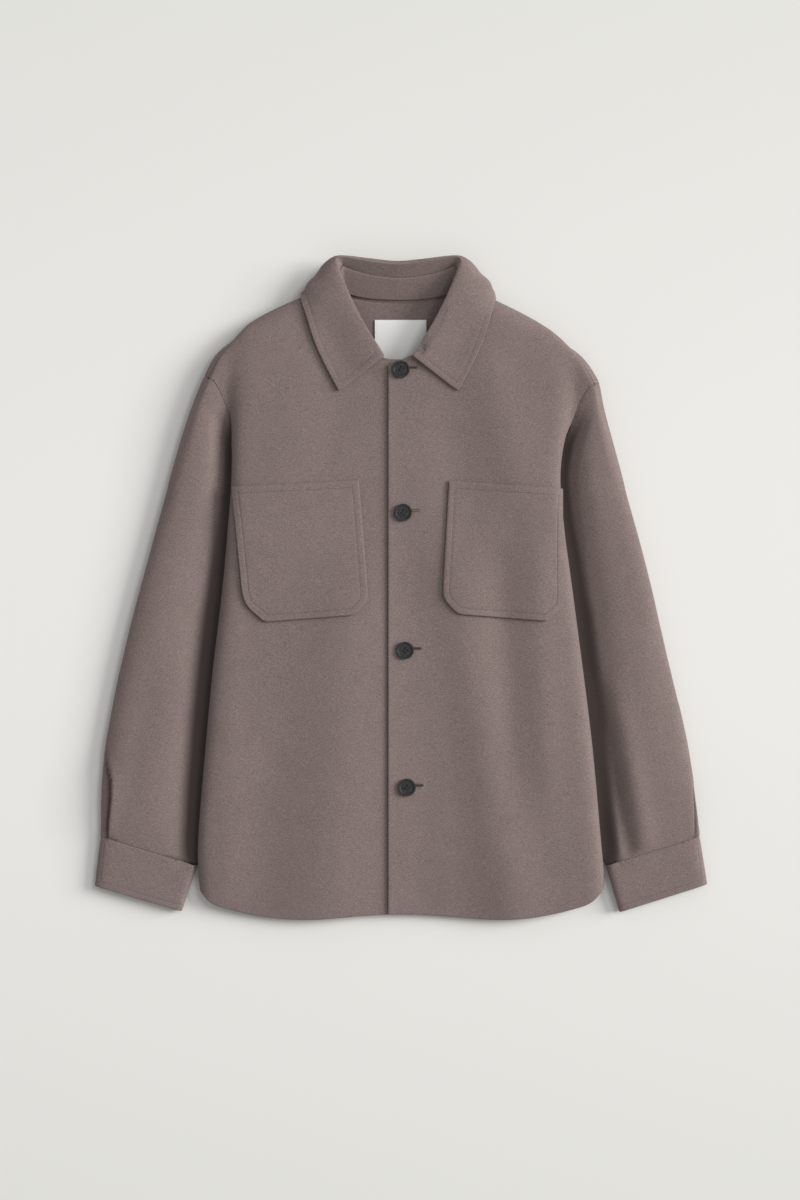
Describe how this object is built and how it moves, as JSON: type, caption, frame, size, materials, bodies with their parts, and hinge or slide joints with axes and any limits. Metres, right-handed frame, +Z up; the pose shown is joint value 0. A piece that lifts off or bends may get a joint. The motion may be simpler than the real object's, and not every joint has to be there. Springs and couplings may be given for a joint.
{
  "type": "shacket",
  "caption": "Boxy taupe wool shacket laid flat, with a turned-down collar, dark buttons, chest patch pockets and plain cuffs.",
  "frame": {"origin": "middle of the laid garment's footprint, on the surface it lies on", "axes": "+Y from the hem to the collar, +X to the wearer's left, +Z up from the surface, out of the fronts"},
  "size_m": [0.72, 0.779, 0.0342],
  "materials": {
    "wool": "felted double-faced wool",
    "button": "satin",
    "label": "satin"
  },
  "bodies": {
    "root": {"back": "wool", "front_left": "wool", "front_right": "wool", "sleeve_left": "wool", "sleeve_right": "wool", "cuff_left": "wool", "cuff_right": "wool", "collar_stand": "wool", "collar_leaf": "wool", "pocket_left": "wool", "pocket_right": "wool", "button_1": "button", "button_2": "button", "button_3": "button", "button_4": "button", "label": "label"}
  },
  "joints": []
}
